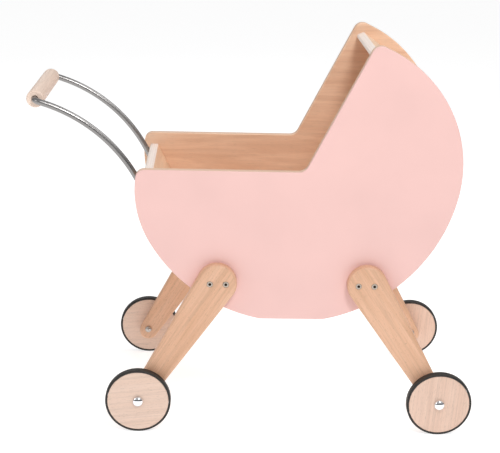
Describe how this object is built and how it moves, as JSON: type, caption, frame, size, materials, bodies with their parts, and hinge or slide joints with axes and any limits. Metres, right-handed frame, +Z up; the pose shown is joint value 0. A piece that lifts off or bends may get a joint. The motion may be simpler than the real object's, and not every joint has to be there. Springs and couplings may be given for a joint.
{
  "type": "doll stroller",
  "caption": "Wooden doll stroller: painted plywood side panels, plain boards between them, splayed legs, rubber-tyred wooden wheels and a wooden grip on bent steel rods.",
  "frame": {"origin": "on the ground, under the middle of the overall bounding box", "axes": "+X towards the hood, which is the front, -X towards the handle, +Y to the left-hand side, +Z up"},
  "size_m": [0.5848, 0.3028, 0.5101],
  "materials": {
    "pink_paint": "satin pale pink paint on birch plywood, plain on the inside and the edges",
    "birch_plywood": "clear satin varnish, grain along the length of the pram",
    "beech": "clear satin varnish, grain along the leg",
    "pale_beech": "pale oiled wood",
    "rubber": "matt black rubber",
    "chrome": "polished domed bolt heads",
    "satin_steel": "satin nickel-plated steel"
  },
  "bodies": {
    "pram": {"cap_nut_front_left": "satin_steel", "cap_nut_front_right": "satin_steel", "cap_nut_rear_left": "satin_steel", "cap_nut_rear_right": "satin_steel", "dowel_end_board_left": "pale_beech", "dowel_end_board_right": "pale_beech", "dowel_hood_back_board_left": "pale_beech", "dowel_hood_back_board_right": "pale_beech", "dowel_hood_lower_board_left": "pale_beech", "dowel_hood_lower_board_right": "pale_beech", "dowel_hood_top_board_left": "pale_beech", "dowel_hood_top_board_right": "pale_beech", "dowel_hood_upper_board_left": "pale_beech", "dowel_hood_upper_board_right": "pale_beech", "end_board": "birch_plywood", "floor_board": "birch_plywood", "grip": "pale_beech", "handle_rod_left": "satin_steel", "handle_rod_right": "satin_steel", "hood_back_board": "birch_plywood", "hood_lower_board": "birch_plywood", "hood_top_board": "birch_plywood", "hood_upper_board": "birch_plywood", "leg_front_left": "beech", "leg_front_right": "beech", "leg_rear_left": "beech", "leg_rear_right": "beech", "leg_screw_front_left_1": "satin_steel", "leg_screw_front_left_2": "satin_steel", "leg_screw_front_right_1": "satin_steel", "leg_screw_front_right_2": "satin_steel", "leg_screw_rear_left_1": "satin_steel", "leg_screw_rear_left_2": "satin_steel", "leg_screw_rear_right_1": "satin_steel", "leg_screw_rear_right_2": "satin_steel", "rod_screw_left_1": "satin_steel", "rod_screw_left_2": "satin_steel", "rod_screw_right_1": "satin_steel", "rod_screw_right_2": "satin_steel", "side_panel_left": "pink_paint", "side_panel_right": "pink_paint", "washer_front_left": "satin_steel", "washer_front_right": "satin_steel", "washer_rear_left": "satin_steel", "washer_rear_right": "satin_steel", "wheel_bolt_front_left": "chrome", "wheel_bolt_front_right": "chrome", "wheel_bolt_rear_left": "chrome", "wheel_bolt_rear_right": "chrome"},
    "wheel_rear_left": {"wheel_disc_rear_left": "pale_beech", "tyre_rear_left": "rubber"},
    "wheel_rear_right": {"wheel_disc_rear_right": "pale_beech", "tyre_rear_right": "rubber"},
    "wheel_front_left": {"wheel_disc_front_left": "pale_beech", "tyre_front_left": "rubber"},
    "wheel_front_right": {"wheel_disc_front_right": "pale_beech", "tyre_front_right": "rubber"}
  },
  "joints": [
    {"name": "wheel_rear_left_spin", "type": "hinge", "parent": "pram", "child": "wheel_rear_left", "pos_m": [-0.1474, 0.1407, 0.043], "axis": [0, 1, 0], "continuous": true},
    {"name": "wheel_rear_right_spin", "type": "hinge", "parent": "pram", "child": "wheel_rear_right", "pos_m": [-0.1474, -0.1407, 0.043], "axis": [0, 1, 0], "continuous": true},
    {"name": "wheel_front_left_spin", "type": "hinge", "parent": "pram", "child": "wheel_front_left", "pos_m": [0.2494, 0.1407, 0.043], "axis": [0, 1, 0], "continuous": true},
    {"name": "wheel_front_right_spin", "type": "hinge", "parent": "pram", "child": "wheel_front_right", "pos_m": [0.2494, -0.1407, 0.043], "axis": [0, 1, 0], "continuous": true}
  ]
}
